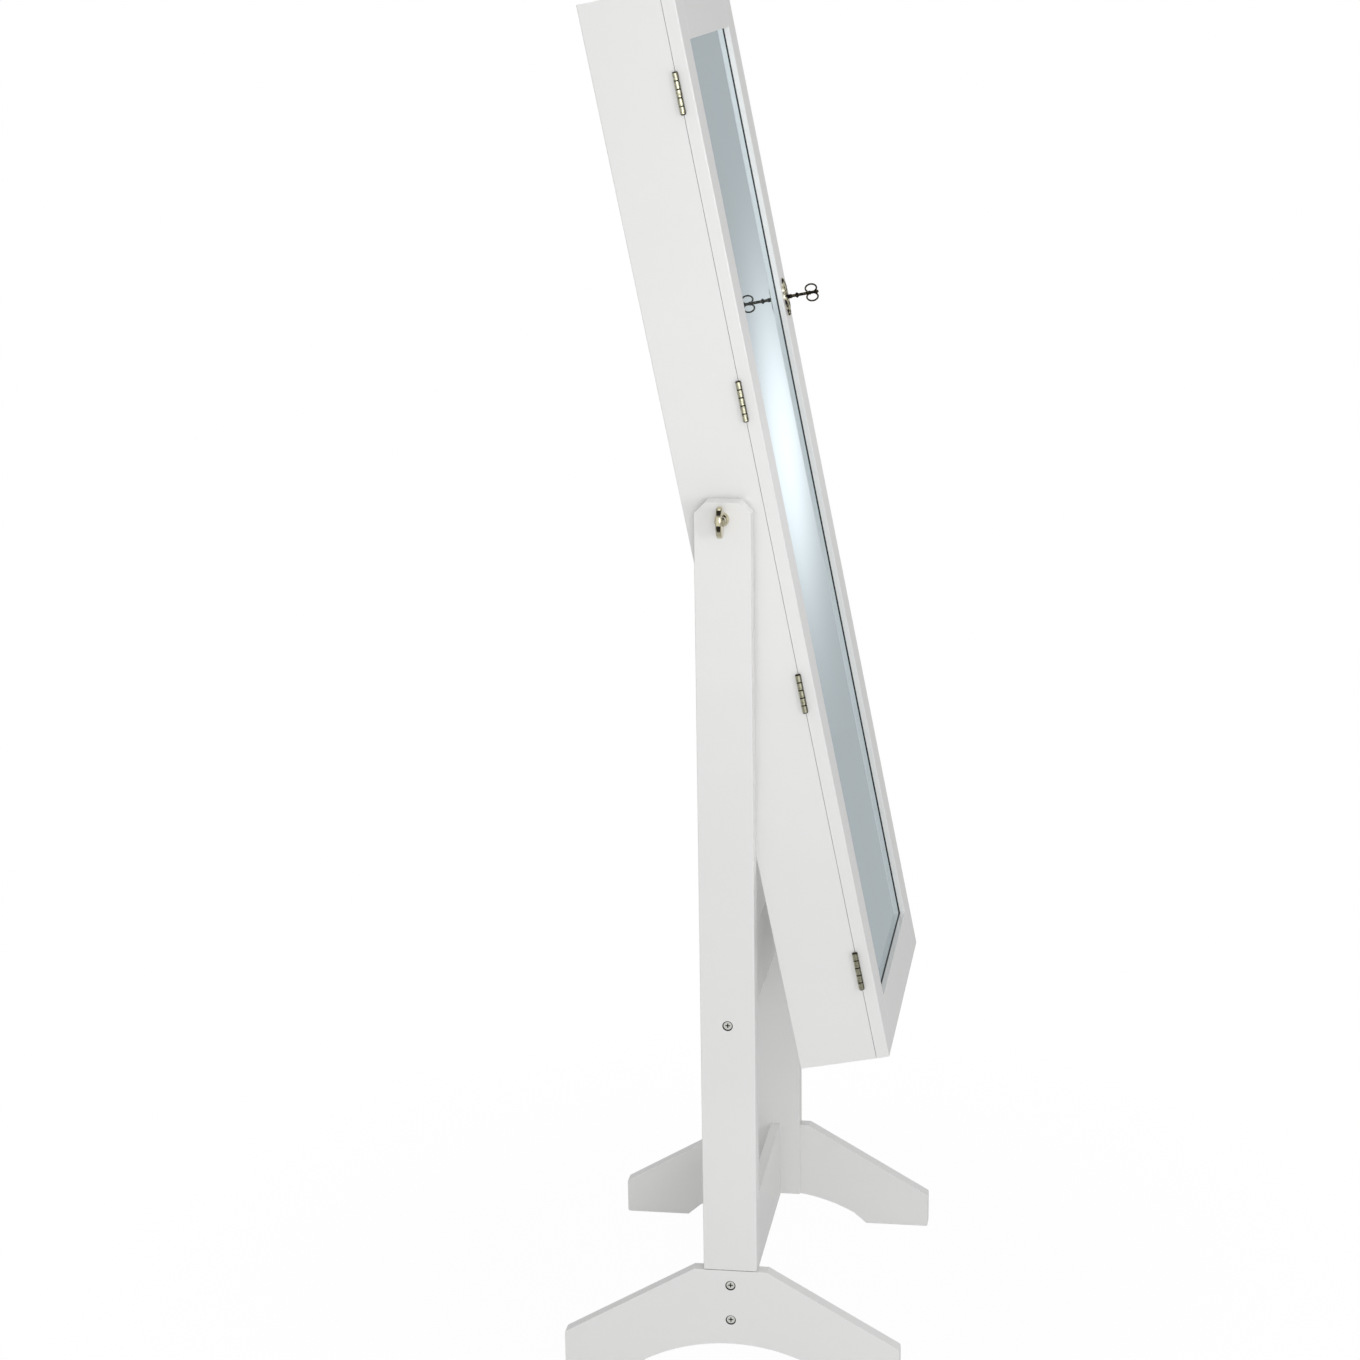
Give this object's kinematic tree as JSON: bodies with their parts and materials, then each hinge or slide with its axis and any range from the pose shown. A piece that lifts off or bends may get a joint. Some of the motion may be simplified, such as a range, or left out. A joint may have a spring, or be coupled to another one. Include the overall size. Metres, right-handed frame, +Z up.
{
  "type": "jewelry mirror cabinet",
  "caption": "Free-standing jewelry cabinet with a full-height framed mirror door, lock and key, tilting between two posts on arched feet.",
  "frame": {"origin": "on the floor, midway between the two feet", "axes": "+Z up, the mirror faces -Y, +X to the right as seen from the front"},
  "size_m": [0.4856, 0.394, 1.5746],
  "materials": {
    "back_board": "white faced hardboard",
    "black_velvet": "flocked velvet",
    "hinge_brass": "antique brass",
    "hook_brass": "bright brass",
    "key_metal": "dark antique finish",
    "knob_metal": "polished nickelled brass",
    "lock_steel": "plated steel",
    "mirror_backing": "black faced hardboard",
    "mirror_glass": "silvered float glass",
    "plate_brass": "antique brass",
    "screw_steel": "zinc plated",
    "spacer_nylon": "nylon",
    "white_lacquer": "white satin lacquer on board"
  },
  "bodies": {
    "stand": {"left_post": "white_lacquer", "right_post": "white_lacquer", "left_foot": "white_lacquer", "right_foot": "white_lacquer", "upper_crossbar": "white_lacquer", "lower_crossbar": "white_lacquer", "stand_screws": "screw_steel", "left_spacer": "spacer_nylon", "right_spacer": "spacer_nylon"},
    "left_knob": {"left_knob": "knob_metal", "left_knob_stud": "screw_steel"},
    "right_knob": {"right_knob": "knob_metal", "right_knob_stud": "screw_steel"},
    "cabinet": {"case_left_side": "white_lacquer", "case_right_side": "white_lacquer", "case_top": "white_lacquer", "case_bottom": "white_lacquer", "back_panel": "back_board", "back_lining": "black_velvet", "lower_shelf": "white_lacquer", "upper_shelf": "white_lacquer", "ring_ledge": "black_velvet", "ring_rolls": "black_velvet", "bracelet_rod": "black_velvet", "bracelet_rod_cups": "white_lacquer", "necklace_rail": "white_lacquer", "necklace_hooks": "hook_brass", "pivot_inserts": "screw_steel", "strike_plate": "lock_steel", "hinge_leaves_case": "hinge_brass", "hinge_pins": "hinge_brass", "earring_rail_1": "black_velvet", "earring_rail_2": "black_velvet", "earring_rail_3": "black_velvet", "earring_rail_4": "black_velvet"},
    "door": {"door_left_stile": "white_lacquer", "door_right_stile": "white_lacquer", "door_top_rail": "white_lacquer", "door_bottom_rail": "white_lacquer", "mirror_glass": "mirror_glass", "mirror_backing": "mirror_backing", "hinge_leaves_door": "hinge_brass", "lock_case": "lock_steel", "escutcheon": "plate_brass", "escutcheon_nails": "plate_brass"},
    "lock_bolt": {"lock_bolt": "lock_steel"},
    "key": {"key": "key_metal"}
  },
  "joints": [
    {"name": "cabinet_tilt", "type": "hinge", "parent": "stand", "child": "cabinet", "pos_m": [0, 0, 1.021], "axis": [-1, 0, 0], "range_deg": [-5.3, 24]},
    {"name": "door_swing", "type": "hinge", "parent": "cabinet", "child": "door", "pos_m": [-0.1881, -0.05061, 0.98303], "axis": [0, -0.1925, -0.9813], "range_deg": [0, 145]},
    {"name": "key_turn", "type": "hinge", "parent": "door", "child": "key", "pos_m": [0.162, -0.02147, 1.20762], "axis": [0, 0.9813, -0.1925], "range_deg": [0, 90]},
    {"name": "bolt_slide", "type": "slide", "parent": "door", "child": "lock_bolt", "axis": [1, 0, 0], "range_m": [0, 0.007]},
    {"name": "left_knob_turn", "type": "hinge", "parent": "stand", "child": "left_knob", "pos_m": [-0.214, 0, 1.021], "axis": [-1, 0, 0], "range_deg": [0, 360]},
    {"name": "right_knob_turn", "type": "hinge", "parent": "stand", "child": "right_knob", "pos_m": [0.214, 0, 1.021], "axis": [1, 0, 0], "range_deg": [0, 360]}
  ],
  "couplings": [
    {"joint": "key_turn", "follows": "bolt_slide", "rad_per_m": 224.4}
  ]
}
